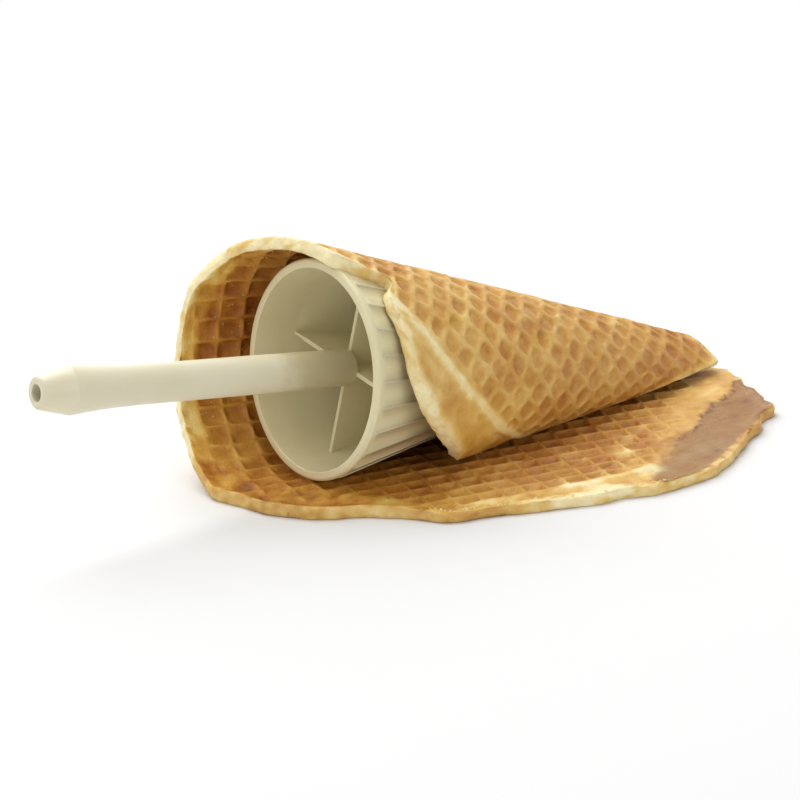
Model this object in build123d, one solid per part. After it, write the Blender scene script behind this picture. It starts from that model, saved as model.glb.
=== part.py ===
"""Krumkake cone roller with a half-rolled wafer.

A hollow moulded cone form is pushed onto a tube handle, and lies on a round baked
wafer.  The near side of the wafer is still flat; the far side is curled up behind
the form, over its top and down on the near side, and its edge is tucked under.

Millimetres, +Z up.  The origin is on the surface that the wafer lies on, straight
below the centre of the form's mouth.  +X runs along the form towards its nose.
"""

from build123d import *
from math import cos, hypot, radians, sin, tan
import os

# ---------------------------------------------------------------- driving dimensions
WAFER_T = 3.2               # baked wafer thickness
RIM_GAP = 0.5               # clearance between the form's rim and the flat wafer
TILT = 9.74                 # the form's axis falls towards its nose, degrees

# cone form
MOUTH_R = 31.0              # outer radius at the mouth plane
TAPER = 13.4                # half angle of the cone, degrees
NOSE_R = 3.2                # radius of the rounded nose
WALL = 2.2                  # wall thickness behind the lip
LIP_INNER_R = 28.2          # inner radius at the mouth plane
LIP_ROUND = 1.0             # outer rounding of the lip
LIP_INNER_ROUND = 0.4
SEAT_DEPTH = 12.0           # mouth plane to the front edges of the webs
CORE_END = 106.0            # depth of the blind end of the hollow

# lengthwise ridges outside the form
RIDGE_COUNT = 26
RIDGE_PHASE = 9.0           # degrees from the level side, towards the top
RIDGE_HEIGHT = 0.3
RIDGE_WIDTH = 0.9
RIDGE_START = 1.8           # mouth plane to the start of a ridge
RIDGE_END = 98.0

# four webs that carry the handle inside the form
WEB_COUNT = 4
WEB_PHASE = 11.0            # degrees from the level side, towards the top
WEB_T = 1.2
WEB_END = 100.0
THIN_WEB_R = 21.7           # the web on the curled side is thinner beyond this radius
THIN_WEB_T = 0.8
SPIGOT_R = 3.72             # the handle's tube is pushed onto this stub
SPIGOT_OUT = 20.0           # length of the stub in front of the webs
SPIGOT_LEAD = 0.8           # lead-in chamfer of the stub

# tube handle, sizes measured from the mouth plane outwards
HANDLE_REACH = 86.2         # mouth plane to the end face of the handle
HANDLE_R = 5.35
HANDLE_ROOT_R = 5.2         # where the tube meets the webs
HANDLE_STRAIGHT = 20.0      # the straight stretch starts this far outside the mouth
FLARE_START = 55.0
FLARE_EDGE = 77.0           # the widest circle, a sharp edge
FLARE_R = 6.45
TIP_R = 4.3
TIP_ROUND = 1.0
TIP_HOLE_R = 2.3
TIP_HOLE_LENGTH = 10.2
TUBE_BORE_R = 3.75
HOLE_BREAK = 0.3            # broken edge of the tip hole

# wafer: where its rulings meet, and how its turn tightens around the form
RULING_X = 168.0            # all straight lines of the roll run towards this point
LAYER_GAP = 0.25            # the tucked edge lies this far above the flat part
ROLL_START = 1.0            # ruling where the wafer leaves the surface, degrees
ROLL_END = 83.0             # last ruling, under the form
ROLL_STEP = 2.0             # one cross-section of the roll every so many degrees
TURN_STEP = 0.25            # integration step of the turn, degrees
TURN_RAMPS = ((1.0, 3.5, 5.0), (27.5, 8.5, -1.08), (57.5, 9.5, 2.5))
LIFT_START = 52.5           # from here the roll rises onto the flat part
LIFT_SPAN = 25.0
ROLL_TIP_R = 28.5           # ruling length where the small end of the roll begins
TIP_T = 1.7                 # the small end is thinner from the top of the roll on
THIN_START = 40.0
THIN_SPAN = 20.0
TUCK_START = 62.0           # beyond this ruling the tucked edge is cut back
TUCK_SPAN = 10.0
TUCK_TIP_R = 64.0
SPREAD_START = 40.0         # from here the small end bulges to the near side
SPREAD_SPAN = 37.0
TIP_SPREAD = 13.0
TIP_RAISE = 0.8
SPREAD_FADE_R = 26.0        # ruling length where the bulge is full
SPREAD_FADE = 110.0         # ruling length over which it fades
CORNER_ANGLE = 71.0         # ruling of the drooping corner
CORNER_SPAN = 9.0
CORNER_DROOP = (0.0, -2.4, -0.2)

# edge of the wafer as baked: ruling angle in degrees, distance from the ruling point
ROLL_EDGE = (
    (1, 194), (4, 196), (10, 194.5), (18, 193), (26, 192), (32, 187), (38, 181),
    (42, 178), (43.5, 178), (45, 169), (46.5, 164.5), (48.5, 166), (50.5, 168),
    (57, 166), (61, 160), (66, 149), (69, 142), (71.5, 137), (74, 122), (77, 105),
    (80, 88), (83, 71.5),
)
FLAT_EDGE = (
    (1, 194), (-2, 192), (-4, 190), (-6, 187), (-8, 182), (-10, 176.5), (-12.5, 172.5),
    (-16.5, 170), (-18, 167), (-20.5, 159), (-24, 152), (-27, 145.5), (-29, 142.5),
    (-31, 137), (-34.5, 133), (-38.5, 122), (-41, 116), (-42.7, 104), (-45, 89),
    (-47, 82.5), (-49.5, 69), (-51.3, 62.7),
)
TORN_EDGE = ((-51.3, 62.7), (-50, 57.5), (-47, 49), (-45.5, 42.5), (-39.5, 34.6), (-32, 29))

# ---------------------------------------------------------------- derived places
RIM_Z = WAFER_T + RIM_GAP + MOUTH_R * cos(radians(TILT))
AXIS = Vector(cos(radians(TILT)), 0, -sin(radians(TILT)))
# local frame of the roller: x level, y up, z from the mouth towards the nose
ROLLER = Plane(origin=(0, 0, RIM_Z), x_dir=(0, 1, 0), z_dir=AXIS)
APEX_DEPTH = MOUTH_R / tan(radians(TAPER))


def outer_radius(depth):
    """Radius of the form's outer wall at a depth behind the mouth plane."""
    return MOUTH_R - depth * tan(radians(TAPER))


def inner_radius(depth):
    """Radius of the form's inner wall behind the webs' front edges."""
    return outer_radius(depth) - WALL / cos(radians(TAPER))


def polar(step, count, phase, solid):
    """Copies of a solid turned about the roller's axis."""
    return [Rot(0, 0, phase + number * step) * solid for number in range(count)]


# ---------------------------------------------------------------- cone form
def form_wall():
    """Hollow cone with a rounded nose and a rounded lip."""
    nose_centre = APEX_DEPTH - NOSE_R / sin(radians(TAPER))
    tangent = (NOSE_R * cos(radians(TAPER)), nose_centre + NOSE_R * sin(radians(TAPER)))
    middle = radians(90 + TAPER) / 2
    nose_middle = (NOSE_R * sin(middle), nose_centre + NOSE_R * cos(middle))
    nose_tip = (0, nose_centre + NOSE_R)
    outline = [
        Line((LIP_INNER_R, 0), (MOUTH_R, 0)),
        Line((MOUTH_R, 0), tangent),
        ThreePointArc(tangent, nose_middle, nose_tip),
        Line(nose_tip, (0, CORE_END)),
        Line((0, CORE_END), (inner_radius(CORE_END), CORE_END)),
        Line((inner_radius(CORE_END), CORE_END), (inner_radius(SEAT_DEPTH), SEAT_DEPTH)),
        Line((inner_radius(SEAT_DEPTH), SEAT_DEPTH), (LIP_INNER_R, 0)),
    ]
    profile = make_face(Wire(outline))
    corners = profile.vertices()
    profile = fillet(corners.sort_by_distance((MOUTH_R, 0, 0))[:1], LIP_ROUND)
    corners = profile.vertices()
    profile = fillet(corners.sort_by_distance((LIP_INNER_R, 0, 0))[:1], LIP_INNER_ROUND)
    return revolve(Plane.XZ * profile, Axis.Z)


def ridge():
    """One thin lengthwise ridge, rooted in the wall."""
    root = WALL / 2
    side = Polyline(
        (outer_radius(RIDGE_START) - root, RIDGE_START),
        (outer_radius(RIDGE_START), RIDGE_START),
        (outer_radius(RIDGE_START + 1) + RIDGE_HEIGHT, RIDGE_START + 1),
        (outer_radius(RIDGE_END - 3) + RIDGE_HEIGHT, RIDGE_END - 3),
        (outer_radius(RIDGE_END), RIDGE_END),
        (outer_radius(RIDGE_END) - root, RIDGE_END),
        close=True,
    )
    return extrude(Plane.XZ * make_face(side), RIDGE_WIDTH / 2, both=True)


def web():
    """One flat web from the axis to the wall, along the inside of the form."""
    root = WALL / 2
    side = Polyline(
        (0, SEAT_DEPTH),
        (inner_radius(SEAT_DEPTH) + root, SEAT_DEPTH),
        (inner_radius(WEB_END) + root, WEB_END),
        (0, WEB_END),
        close=True,
    )
    return extrude(Plane.XZ * make_face(side), WEB_T / 2, both=True)


def stepped_web():
    """The same web, with both faces cut back near the wall."""
    reach = inner_radius(SEAT_DEPTH) + WALL - THIN_WEB_R
    above = Box(reach, WEB_T, WEB_END, align=(Align.MIN, Align.MIN, Align.MIN))
    above = Pos(THIN_WEB_R, THIN_WEB_T / 2, 0) * above
    return web() - above - mirror(above, Plane.XZ)


def spigot():
    """Stub in front of the webs that the handle's tube is pushed onto."""
    start = SEAT_DEPTH - SPIGOT_OUT
    stub = Cylinder(SPIGOT_R, SPIGOT_OUT + WEB_T, align=(Align.CENTER, Align.CENTER, Align.MIN))
    stub = chamfer(stub.edges().group_by(Axis.Z)[0], SPIGOT_LEAD)
    return Pos(0, 0, start) * stub


def cone_form():
    solid = form_wall()
    solid += polar(360 / RIDGE_COUNT, RIDGE_COUNT, RIDGE_PHASE, ridge())
    solid += polar(360 / WEB_COUNT, WEB_COUNT - 1, WEB_PHASE + 360 / WEB_COUNT, web())
    solid += Rot(0, 0, WEB_PHASE) * stepped_web()
    solid += spigot()
    return ROLLER * solid


# ---------------------------------------------------------------- handle
def tube_handle():
    """Hollow handle: a small round end, a flare up to a sharp edge, a long slim tube."""
    flare_middle = (FLARE_START + FLARE_EDGE) / 2
    middle_r = HANDLE_R + (FLARE_R - HANDLE_R) / 4
    step = -HANDLE_REACH + TIP_HOLE_LENGTH
    outline = [
        Line((TIP_HOLE_R, -HANDLE_REACH), (TIP_R, -HANDLE_REACH)),
        Line((TIP_R, -HANDLE_REACH), (FLARE_R, -FLARE_EDGE)),
        ThreePointArc((FLARE_R, -FLARE_EDGE), (middle_r, -flare_middle), (HANDLE_R, -FLARE_START)),
        Line((HANDLE_R, -FLARE_START), (HANDLE_R, -HANDLE_STRAIGHT)),
        Line((HANDLE_R, -HANDLE_STRAIGHT), (HANDLE_ROOT_R, SEAT_DEPTH)),
        Line((HANDLE_ROOT_R, SEAT_DEPTH), (TUBE_BORE_R, SEAT_DEPTH)),
        Line((TUBE_BORE_R, SEAT_DEPTH), (TUBE_BORE_R, step)),
        Line((TUBE_BORE_R, step), (TIP_HOLE_R, step)),
        Line((TIP_HOLE_R, step), (TIP_HOLE_R, -HANDLE_REACH)),
    ]
    profile = make_face(Wire(outline))
    corners = profile.vertices()
    profile = fillet(corners.sort_by_distance((TIP_R, -HANDLE_REACH, 0))[:1], TIP_ROUND)
    corners = profile.vertices()
    profile = fillet(corners.sort_by_distance((TIP_HOLE_R, -HANDLE_REACH, 0))[:1], HOLE_BREAK)
    return ROLLER * revolve(Plane.XZ * profile, Axis.Z)


# ---------------------------------------------------------------- wafer
def smooth_step(value):
    value = min(max(value, 0.0), 1.0)
    return value * value * (3 - 2 * value)


def turn_rate(angle):
    """How sharply the wafer turns at a ruling, per radian of ruling angle."""
    return sum(change * smooth_step((angle - start) / span) for start, span, change in TURN_RAMPS)


def roll_frames():
    """Ruling direction and inward normal for each cross-section of the roll.

    The wafer bends without stretching, so every ruling passes near one point.  The
    frame turns about the ruling as fast as turn_rate says, until the wafer comes
    down level on its own flat part; from there it stays level.
    """
    start = radians(ROLL_START)
    ruling = Vector(-cos(start), sin(start), 0)
    normal = Vector(0, 0, 1)
    frames = [(ROLL_START, ruling, normal)]
    steps_per_section = round(ROLL_STEP / TURN_STEP)
    steps = round((ROLL_END - ROLL_START) / TURN_STEP)
    landed = False
    for number in range(1, steps + 1):
        angle = ROLL_START + (number - 0.5) * TURN_STEP
        rate = 0.0 if landed else turn_rate(angle)
        spin = Axis((0, 0, 0), ruling * rate + normal)
        amount = -TURN_STEP * hypot(1, rate)
        ruling = ruling.rotate(spin, amount)
        normal = normal.rotate(spin, amount)
        sideways = ruling.cross(normal)
        if angle > LIFT_START and sideways.Z >= 0 and not landed:
            landed = True
            ruling = Vector(ruling.X, ruling.Y, 0).normalized()
            normal = Vector(0, 0, 1)
        if number % steps_per_section == 0:
            frames.append((ROLL_START + number * TURN_STEP, ruling, normal))
    return frames


def edge_distance(angle):
    """Distance from the ruling point to the wafer's edge, along a ruling."""
    for (low, low_r), (high, high_r) in zip(ROLL_EDGE, ROLL_EDGE[1:]):
        if angle <= high:
            return low_r + (high_r - low_r) * (angle - low) / (high - low)
    return ROLL_EDGE[-1][1]


def roll_point(distance, angle, ruling):
    """Point on the outer face of the roll."""
    lift = smooth_step((angle - LIFT_START) / LIFT_SPAN)
    spread = smooth_step((angle - SPREAD_START) / SPREAD_SPAN)
    spread *= 1 - (distance - SPREAD_FADE_R) / SPREAD_FADE
    place = Vector(RULING_X, 0, 0) + ruling * distance
    place += Vector(0, 0, WAFER_T + LAYER_GAP) * lift
    place += Vector(0, -TIP_SPREAD, TIP_RAISE) * spread
    return place


def edge_point(angle, ruling):
    """Point on the wafer's edge; the corner of the near side droops a little."""
    droop = smooth_step(1 - abs(angle - CORNER_ANGLE) / CORNER_SPAN)
    return roll_point(edge_distance(angle), angle, ruling) + Vector(*CORNER_DROOP) * droop


def tip_distance(angle):
    """Ruling length of the small end; the tucked edge is cut back."""
    cut = smooth_step((angle - TUCK_START) / TUCK_SPAN)
    return ROLL_TIP_R + (TUCK_TIP_R - ROLL_TIP_R) * cut


def tip_thickness(angle):
    """Thickness of the wafer at the small end of the roll."""
    return WAFER_T + (TIP_T - WAFER_T) * smooth_step((angle - THIN_START) / THIN_SPAN)


def inward_normal(distance, before, after, along):
    """Unit normal of the roll at a ruling length, from the cross-sections on both sides."""
    across = roll_point(distance, *after[:2]) - roll_point(distance, *before[:2])
    return across.cross(along).normalized()


def rolled_part():
    """The curled side of the wafer, lofted through one thin cross-section per step."""
    frames = roll_frames()
    sections = []
    for number, (angle, ruling, normal) in enumerate(frames):
        near = roll_point(tip_distance(angle), angle, ruling)
        far = edge_point(angle, ruling)
        near_inward = far_inward = normal
        if angle > SPREAD_START:
            before = frames[number - 1]
            after = frames[min(number + 1, len(frames) - 1)]
            near_inward = inward_normal(tip_distance(angle), before, after, far - near)
            far_inward = inward_normal(edge_distance(angle), before, after, far - near)
        near_thickness = tip_thickness(angle)
        corners = [near, far, far + far_inward * WAFER_T, near + near_inward * near_thickness]
        sections.append(Wire.make_polygon(corners, close=True))
    return Solid.make_loft(sections)


def flat_point(angle, distance):
    return (RULING_X - distance * cos(radians(angle)), distance * sin(radians(angle)))


def flat_part():
    """The side of the wafer that still lies flat."""
    first = flat_point(ROLL_START, ROLL_TIP_R)
    outline = [
        Line(first, flat_point(*FLAT_EDGE[0])),
        Spline([flat_point(*place) for place in FLAT_EDGE]),
        Spline([flat_point(*place) for place in TORN_EDGE]),
        ThreePointArc(flat_point(*TORN_EDGE[-1]), flat_point(-16, ROLL_TIP_R), first),
    ]
    return extrude(make_face(Wire(outline)), WAFER_T)


def wafer():
    return flat_part().fuse(rolled_part())


# ---------------------------------------------------------------- files
if __name__ == "__main__":
    os.makedirs("parts", exist_ok=True)
    parts = {
        "cone_form": cone_form(),
        "tube_handle": tube_handle(),
        "wafer": wafer(),
    }
    for name, solid in parts.items():
        solid.label = name
        export_step(solid, f"parts/{name}.step")
        size = solid.bounding_box().size
        print(f"{name}: {size.X:.1f} x {size.Y:.1f} x {size.Z:.1f} mm, {solid.volume / 1000:.1f} cm3")
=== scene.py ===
# %% [markdown]
# # A cone roller with a half-rolled wafer
# The object is one moment of baking: a warm, patterned wafer lies on the table, and a plastic
# cone on a tube handle lies on it while the far side of the wafer is being rolled round it.
# The two plastic pieces are hard and exact, so their shapes come ready from the engineering
# model. The wafer is soft, uneven and embossed, so its mesh is made here, point by point.

import math

import bpy
import numpy as np
from mathutils import Matrix, Vector
from mathutils.geometry import delaunay_2d_cdt


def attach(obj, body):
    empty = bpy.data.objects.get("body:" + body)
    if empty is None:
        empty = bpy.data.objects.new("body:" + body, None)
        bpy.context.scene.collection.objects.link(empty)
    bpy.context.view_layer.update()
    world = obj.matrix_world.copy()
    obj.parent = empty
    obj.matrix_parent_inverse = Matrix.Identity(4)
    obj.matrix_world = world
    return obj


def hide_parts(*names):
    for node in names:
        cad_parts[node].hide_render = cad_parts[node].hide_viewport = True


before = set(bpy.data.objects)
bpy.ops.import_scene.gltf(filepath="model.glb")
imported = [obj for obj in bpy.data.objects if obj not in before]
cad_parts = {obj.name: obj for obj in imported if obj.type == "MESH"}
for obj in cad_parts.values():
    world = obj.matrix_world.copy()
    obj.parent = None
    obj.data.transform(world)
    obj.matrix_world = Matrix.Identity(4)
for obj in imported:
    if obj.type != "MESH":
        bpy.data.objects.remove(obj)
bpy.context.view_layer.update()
MM = 0.001
print("pieces of the frame:", sorted(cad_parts))

# %% [markdown]
# ## Camera
# A long lens far away keeps the round mouth of the cone from looking stretched. The camera
# stands on the handle's side, a little above the table, and is turned slightly about its own
# line of sight. Its three angles are turned into a rotation matrix here, because then each
# number means one thing: where it looks along the table, how far down, and how it leans.

# %% Camera
CAMERA_PLACE = (-382.32, -566.10, 246.98)   # mm
CAMERA_HEADING = 36.03                      # degrees from +Y towards +X
CAMERA_DOWN = 18.10
CAMERA_LEAN = -4.02
CAMERA_LENS = 117.0                         # mm on a 36 mm sensor


def camera_axes(heading, down, lean):
    """Right, up and forward directions of a camera, from three angles in degrees."""
    heading, down, lean = (math.radians(value) for value in (heading, down, lean))
    level_part = math.cos(down)
    forward = Vector((math.sin(heading) * level_part, math.cos(heading) * level_part, -math.sin(down)))
    level = forward.cross(Vector((0, 0, 1))).normalized()
    upright = level.cross(forward)
    right = level * math.cos(lean) + upright * math.sin(lean)
    up = upright * math.cos(lean) - level * math.sin(lean)
    return right, up, forward


def make_camera():
    data = bpy.data.cameras.new("camera")
    data.lens = CAMERA_LENS
    data.sensor_width = 36.0
    data.clip_start = 0.01
    data.clip_end = 20.0
    camera = bpy.data.objects.new("camera", data)
    bpy.context.scene.collection.objects.link(camera)
    right, up, forward = camera_axes(CAMERA_HEADING, CAMERA_DOWN, CAMERA_LEAN)
    turn = Matrix((right, up, -forward)).transposed().to_4x4()
    camera.matrix_world = Matrix.Translation(Vector(CAMERA_PLACE) * MM) @ turn
    bpy.context.scene.camera = camera
    return camera


camera = make_camera()
print("camera at", [round(value, 3) for value in camera.location])

# %% [markdown]
# ## Table, room light and lamps
# Food and kitchenware are usually shown on a white sweep under very soft light. Near the
# object the floor is an ordinary pale surface, so it keeps the soft shadow under the wafer.
# Further out it turns into a white sweep, but only for rays that show the surface itself:
# light that bounces off it still meets a plain pale floor. The room glows from above and
# less from the sides, so hollow places stay darker. A wide lamp behind lays long soft
# highlights along the plastic, and two weak ones keep the near side from going flat.

# %% Colour and node helpers
WHITE = (1.0, 1.0, 1.0, 1.0)


def srgb(red, green, blue):
    """A colour given as it looks on screen, 0 to 255, as the linear values Blender uses."""
    linear = []
    for value in (red, green, blue):
        share = value / 255
        linear.append(share / 12.92 if share <= 0.04045 else ((share + 0.055) / 1.055) ** 2.4)
    return (*linear, 1.0)


def link(tree, start, end):
    tree.links.new(start, end)


def add_node(tree, kind, inputs, **settings):
    """A node with its settings; each input is given a plain value or another node's output."""
    node = tree.nodes.new(kind)
    for name, value in settings.items():
        setattr(node, name, value)
    for key, value in inputs.items():
        if isinstance(value, bpy.types.NodeSocket):
            link(tree, value, node.inputs[key])
        else:
            node.inputs[key].default_value = value
    return node


def add_math(tree, operation, *values, clamp=False):
    """Output of a math node; each value is a number or a socket."""
    inputs = dict(enumerate(values))
    return add_node(tree, "ShaderNodeMath", inputs, operation=operation, use_clamp=clamp).outputs["Value"]


def add_range(tree, value, low, high, to_low=0.0, to_high=1.0):
    """Smooth step of a value between two limits."""
    inputs = {"Value": value, "From Min": low, "From Max": high, "To Min": to_low, "To Max": to_high}
    return add_node(tree, "ShaderNodeMapRange", inputs, interpolation_type="SMOOTHSTEP").outputs["Result"]


print("mid grey is", [round(value, 3) for value in srgb(128, 128, 128)])

# %% Floor
FLOOR_HALF = 6.0            # metres
FLOOR_TONE = 0.78           # share of the light that the floor sends back
SWEEP_START = 0.25          # metres from the middle, where the white sweep begins
SWEEP_END = 0.60            # metres from the middle, where it is all white


def seen_directly(tree):
    """1 for rays that show the surface itself: from the camera, or by way of a shine or glass."""
    ray = tree.nodes.new("ShaderNodeLightPath").outputs
    by_way = add_math(tree, "MAXIMUM", ray["Is Glossy Ray"], ray["Is Transmission Ray"])
    return add_math(tree, "MAXIMUM", ray["Is Camera Ray"], by_way)


def sweep_material():
    material = bpy.data.materials.new("white sweep")
    material.use_nodes = True
    tree = material.node_tree
    tree.nodes.clear()
    table = add_node(tree, "ShaderNodeBsdfDiffuse", {"Color": (FLOOR_TONE, FLOOR_TONE, FLOOR_TONE, 1)})
    sweep = add_node(tree, "ShaderNodeEmission", {"Color": WHITE, "Strength": 1.0})
    place = tree.nodes.new("ShaderNodeTexCoord").outputs["Object"]
    reach = add_node(tree, "ShaderNodeVectorMath", {0: place}, operation="LENGTH").outputs["Value"]
    far = add_range(tree, reach, SWEEP_START, SWEEP_END)
    share = add_math(tree, "MULTIPLY", far, seen_directly(tree))
    mix = add_node(tree, "ShaderNodeMixShader", {0: share, 1: table.outputs[0], 2: sweep.outputs[0]})
    add_node(tree, "ShaderNodeOutputMaterial", {"Surface": mix.outputs[0]})
    return material


def make_floor():
    mesh = bpy.data.meshes.new("floor")
    half = FLOOR_HALF
    corners = [(-half, -half, 0), (half, -half, 0), (half, half, 0), (-half, half, 0)]
    mesh.from_pydata(corners, [], [(0, 1, 2, 3)])
    mesh.materials.append(sweep_material())
    floor = bpy.data.objects.new("floor", mesh)
    bpy.context.scene.collection.objects.link(floor)


make_floor()
print("floor reaches", FLOOR_HALF, "m each way")

# %% Room glow
ROOM_HIGH = 0.78            # glow from straight above
ROOM_LOW = 0.30             # glow from the horizon and below


def make_room():
    world = bpy.data.worlds.new("room")
    bpy.context.scene.world = world
    world.use_nodes = True
    tree = world.node_tree
    tree.nodes.clear()
    direction = tree.nodes.new("ShaderNodeTexCoord").outputs["Generated"]
    height = add_node(tree, "ShaderNodeSeparateXYZ", {0: direction}).outputs["Z"]
    level = add_node(tree, "ShaderNodeMapRange", {"Value": height, "To Min": ROOM_LOW, "To Max": ROOM_HIGH})
    glow = add_node(tree, "ShaderNodeBackground", {"Color": WHITE, "Strength": level.outputs["Result"]})
    white = add_node(tree, "ShaderNodeBackground", {"Color": WHITE, "Strength": 1.0})
    mix = add_node(
        tree, "ShaderNodeMixShader", {0: seen_directly(tree), 1: glow.outputs[0], 2: white.outputs[0]}
    )
    add_node(tree, "ShaderNodeOutputWorld", {"Surface": mix.outputs[0]})


make_room()
print("room glow from", ROOM_LOW, "to", ROOM_HIGH)

# %% Lamps
# name, place in metres, width and height in metres, watts
LAMPS = (
    ("lamp behind", (0.12, 0.68, 0.96), 1.1, 1.5, 15.6),
    ("lamp front", (0.15, -1.20, 0.55), 0.8, 0.5, 2.2),
    ("lamp left", (-1.25, -0.35, 0.45), 0.6, 0.6, 2.5),
)
LAMP_AIM = Vector((0.04, 0, 0.03))


def make_lamp(name, place, width, height, watts):
    data = bpy.data.lights.new(name, "AREA")
    data.shape = "RECTANGLE"
    data.size = width
    data.size_y = height
    data.energy = watts
    lamp = bpy.data.objects.new(name, data)
    bpy.context.scene.collection.objects.link(lamp)
    lamp.location = place
    lamp.rotation_euler = (LAMP_AIM - Vector(place)).to_track_quat("-Z", "Y").to_euler()
    return lamp


for lamp in LAMPS:
    make_lamp(*lamp)
bpy.context.scene.view_settings.view_transform = "Standard"
print("lamps:", [name for name, *rest in LAMPS])

# %% [markdown]
# ## Moulded plastic
# The cone and the handle are cream polypropylene. Up close such a part isn't one flat colour:
# the mould leaves a faint texture, the skin is a little glossier in some places, and long
# flow lines run away from the gate. One node group holds that effect with its own sizes, and
# each of the two materials places it with its own numbers. The group only puts out a colour,
# a roughness and a height. The shader itself stays in the material.

# %% Moulded skin group
def new_group(name, inputs, outputs):
    """An empty shader node group with named sockets; returns the group and both end nodes."""
    group = bpy.data.node_groups.new(name, "ShaderNodeTree")
    for label, kind, value in inputs:
        socket = group.interface.new_socket(label, in_out="INPUT", socket_type=kind)
        socket.default_value = value
    for label, kind in outputs:
        group.interface.new_socket(label, in_out="OUTPUT", socket_type=kind)
    return group, group.nodes.new("NodeGroupInput"), group.nodes.new("NodeGroupOutput")


def add_noise(tree, vector, scale, detail=3.0, roughness=0.55):
    inputs = {"Vector": vector, "Scale": scale, "Detail": detail, "Roughness": roughness}
    return add_node(tree, "ShaderNodeTexNoise", inputs).outputs["Fac"]


def add_mix(tree, share, first, second, blend="MIX"):
    """A colour mix; each colour is a socket or a linear colour."""
    inputs = {0: share, 6: first, 7: second}
    return add_node(tree, "ShaderNodeMix", inputs, data_type="RGBA", blend_type=blend).outputs[2]


DEEP_SHARE = 0.45           # most that the deeper colour adds to the plain one
GLOSS_CLOUD = 0.25          # how much the flow lines and the grain change the gloss
GLOSS_GRAIN = 0.06
CLOUD_HEIGHT = 2.0          # height of the flow lines against that of the grain


def moulded_skin_group():
    group, start, end = new_group(
        "moulded skin",
        (
            ("Vector", "NodeSocketVector", (0, 0, 0)),
            ("Plain Colour", "NodeSocketColor", (0.8, 0.8, 0.8, 1)),
            ("Deep Colour", "NodeSocketColor", (0.6, 0.6, 0.5, 1)),
            ("Cloud Size", "NodeSocketFloat", 90.0),
            ("Grain Size", "NodeSocketFloat", 2600.0),
            ("Gloss", "NodeSocketFloat", 0.38),
        ),
        (("Colour", "NodeSocketColor"), ("Roughness", "NodeSocketFloat"), ("Height", "NodeSocketFloat")),
    )
    given = start.outputs
    cloud = add_noise(group, given["Vector"], given["Cloud Size"], 4.0)
    grain = add_noise(group, given["Vector"], given["Grain Size"], 2.0)
    deep = add_math(group, "MULTIPLY", add_range(group, cloud, 0.35, 0.75), DEEP_SHARE)
    colour = add_mix(group, deep, given["Plain Colour"], given["Deep Colour"])
    uneven = add_math(group, "MULTIPLY", add_math(group, "SUBTRACT", cloud, 0.5), GLOSS_CLOUD)
    gloss = add_math(group, "ADD", uneven, given["Gloss"])
    gloss = add_math(group, "ADD", gloss, add_math(group, "MULTIPLY", grain, GLOSS_GRAIN))
    height = add_math(group, "ADD", add_math(group, "MULTIPLY", cloud, CLOUD_HEIGHT), grain)
    link(group, colour, end.inputs["Colour"])
    link(group, gloss, end.inputs["Roughness"])
    link(group, height, end.inputs["Height"])
    return group


moulded_skin = moulded_skin_group()
print("group", moulded_skin.name, "with", len(moulded_skin.nodes), "nodes")

# %% [markdown]
# ## Flutes of the cone
# The cone's ridges are real shapes in the engineering model. Between two of them the wall
# dips a little, so steam can leave the wafer, and each crest gets a paler painted highlight.
# Both follow one rule round the axis: the angle of a place, counted in ridges. So a second
# group measures that angle and puts out a height and a mask, without a single added face.

# %% Flutes between the form's ridges
RIM_PLACE = (0.0, 0.0, 0.034253)    # middle of the mouth, metres
FORM_TILT = math.radians(9.74)
FORM_TAPER = math.tan(math.radians(13.4))
MOUTH_RADIUS = 31.0 * MM
RIDGES = 26
RIDGE_PHASE = 9.0                   # degrees from level
OUTER_SKIN = (-1.2 * MM, -0.8 * MM)     # the flutes end this far inside the outer wall
LIP_FADE = (1.5 * MM, 3.5 * MM)     # and begin this far behind the mouth
CREST_POWER = 12.0                  # a higher power makes a narrower crest


def add_vector_math(tree, operation, *values):
    """A vector math node; each value is a socket or three numbers."""
    return add_node(tree, "ShaderNodeVectorMath", dict(enumerate(values)), operation=operation)


def flute_group():
    """Height 1 along each ridge and 0 half-way between two, only on the outside of the cone."""
    group, start, end = new_group(
        "form flutes",
        (("Vector", "NodeSocketVector", (0, 0, 0)),),
        (("Height", "NodeSocketFloat"), ("Crest", "NodeSocketFloat")),
    )
    place = add_vector_math(group, "SUBTRACT", start.outputs["Vector"], RIM_PLACE).outputs["Vector"]
    directions = (
        (math.cos(FORM_TILT), 0.0, -math.sin(FORM_TILT)),
        (0.0, 1.0, 0.0),
        (math.sin(FORM_TILT), 0.0, math.cos(FORM_TILT)),
    )
    depth, level, up = (
        add_vector_math(group, "DOT_PRODUCT", place, direction).outputs["Value"] for direction in directions
    )
    squares = (add_math(group, "POWER", value, 2.0) for value in (level, up))
    radius = add_math(group, "SQRT", add_math(group, "ADD", *squares))
    count = add_math(group, "MULTIPLY", add_math(group, "ARCTAN2", up, level), RIDGES / math.tau)
    share = add_math(group, "FRACT", add_math(group, "SUBTRACT", count, RIDGE_PHASE * RIDGES / 360))
    off_middle = add_math(group, "SUBTRACT", add_math(group, "MULTIPLY", share, 2.0), 1.0)
    flute = add_math(group, "POWER", add_math(group, "ABSOLUTE", off_middle), 2.0)
    wall = add_math(group, "ADD", radius, add_math(group, "MULTIPLY", depth, FORM_TAPER))
    outside = add_range(group, wall, *(MOUTH_RADIUS + step for step in OUTER_SKIN))
    here = add_math(group, "MULTIPLY", outside, add_range(group, depth, *LIP_FADE))
    crest = add_math(group, "POWER", flute, CREST_POWER)
    link(group, add_math(group, "MULTIPLY", flute, here), end.inputs["Height"])
    link(group, add_math(group, "MULTIPLY", crest, here), end.inputs["Crest"])
    return group


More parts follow.
